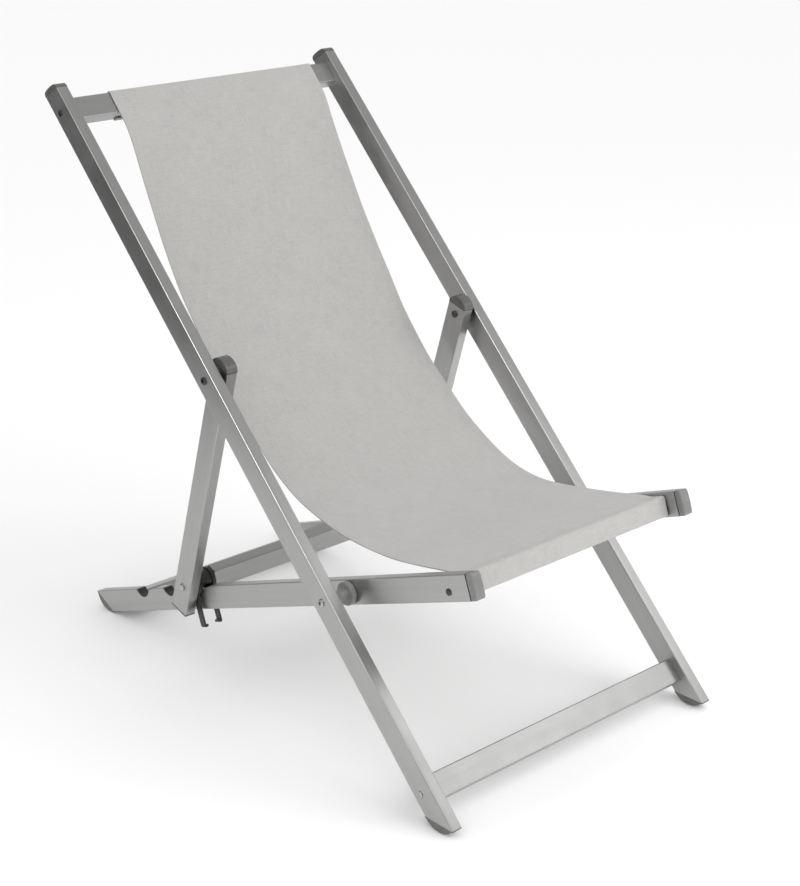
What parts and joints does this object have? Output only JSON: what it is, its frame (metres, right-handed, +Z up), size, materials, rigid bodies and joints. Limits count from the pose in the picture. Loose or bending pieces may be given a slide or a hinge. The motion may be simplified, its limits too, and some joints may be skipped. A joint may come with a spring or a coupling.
{
  "type": "folding deck chair",
  "caption": "Folding deck chair of flat aluminium tube with a fabric sling slung between two crossbars and a rear prop that drops into notches.",
  "frame": {"origin": "middle of the footprint, on the floor", "axes": "+Z up, the seat faces -Y, +X to the sitter's left when seated"},
  "size_m": [0.5778, 0.9764, 0.9444],
  "materials": {
    "aluminium_satin": "satin anodised, light silver grey",
    "plastic_dark": "moulded, fine matt grain",
    "steel_fixings": "plain zinc-grey fixings",
    "sling_cloth": "plain woven synthetic cloth, light warm grey"
  },
  "bodies": {
    "main_frame": {"main_rail_left": "aluminium_satin", "main_rail_right": "aluminium_satin", "main_foot_left": "plastic_dark", "main_foot_right": "plastic_dark", "main_top_cap_left": "plastic_dark", "main_top_cap_right": "plastic_dark", "top_bar_screw_left": "steel_fixings", "top_bar_screw_right": "steel_fixings", "low_bar_screw_left": "steel_fixings", "low_bar_screw_right": "steel_fixings", "frame_pivot_bolt_left": "steel_fixings", "frame_pivot_bolt_right": "steel_fixings", "frame_spacer_left": "plastic_dark", "frame_spacer_right": "plastic_dark", "prop_pivot_bolt_left": "steel_fixings", "prop_pivot_bolt_right": "steel_fixings", "top_crossbar": "aluminium_satin", "low_crossbar": "aluminium_satin", "sling": "sling_cloth"},
    "seat_frame": {"seat_rail_left": "aluminium_satin", "seat_rail_right": "aluminium_satin", "seat_foot_left": "plastic_dark", "seat_foot_right": "plastic_dark", "seat_front_cap_left": "plastic_dark", "seat_front_cap_right": "plastic_dark", "notch_insert_1_left": "plastic_dark", "notch_insert_1_right": "plastic_dark", "notch_insert_2_left": "plastic_dark", "notch_insert_2_right": "plastic_dark", "notch_insert_3_left": "plastic_dark", "notch_insert_3_right": "plastic_dark", "front_bar_screw_left": "steel_fixings", "front_bar_screw_right": "steel_fixings", "front_crossbar": "aluminium_satin", "rear_crossbar": "aluminium_satin"},
    "prop_frame": {"prop_leg_left": "aluminium_satin", "prop_leg_right": "aluminium_satin", "leg_top_cap_left": "plastic_dark", "leg_top_cap_right": "plastic_dark", "leg_tip_left": "plastic_dark", "leg_tip_right": "plastic_dark", "catch_pin_left": "steel_fixings", "catch_pin_right": "steel_fixings", "prop_crossbar": "aluminium_satin"},
    "catch_left": {"catch_left": "plastic_dark"},
    "catch_right": {"catch_right": "plastic_dark"}
  },
  "joints": [
    {"name": "seat_fold", "type": "hinge", "parent": "main_frame", "child": "seat_frame", "pos_m": [0, -0.20832, 0.26927], "axis": [1, 0, 0], "range_deg": [0, 64.4], "deforming": ["sling"]},
    {"name": "prop_fold", "type": "hinge", "parent": "main_frame", "child": "prop_frame", "pos_m": [0, 0.06153, 0.54387], "axis": [1, 0, 0], "range_deg": [0, 118.5]},
    {"name": "catch_left_turn", "type": "hinge", "parent": "prop_frame", "child": "catch_left", "pos_m": [0, 0.18204, 0.15004], "axis": [1, 0, 0], "range_deg": [-183, 0]},
    {"name": "catch_right_turn", "type": "hinge", "parent": "prop_frame", "child": "catch_right", "pos_m": [0, 0.18204, 0.15004], "axis": [1, 0, 0], "range_deg": [-183, 0]}
  ],
  "couplings": [
    {"joint": "prop_fold", "follows": "seat_fold", "ratio": 1.84},
    {"joint": "catch_left_turn", "follows": "seat_fold", "ratio": -2.84},
    {"joint": "catch_right_turn", "follows": "seat_fold", "ratio": -2.84}
  ]
}
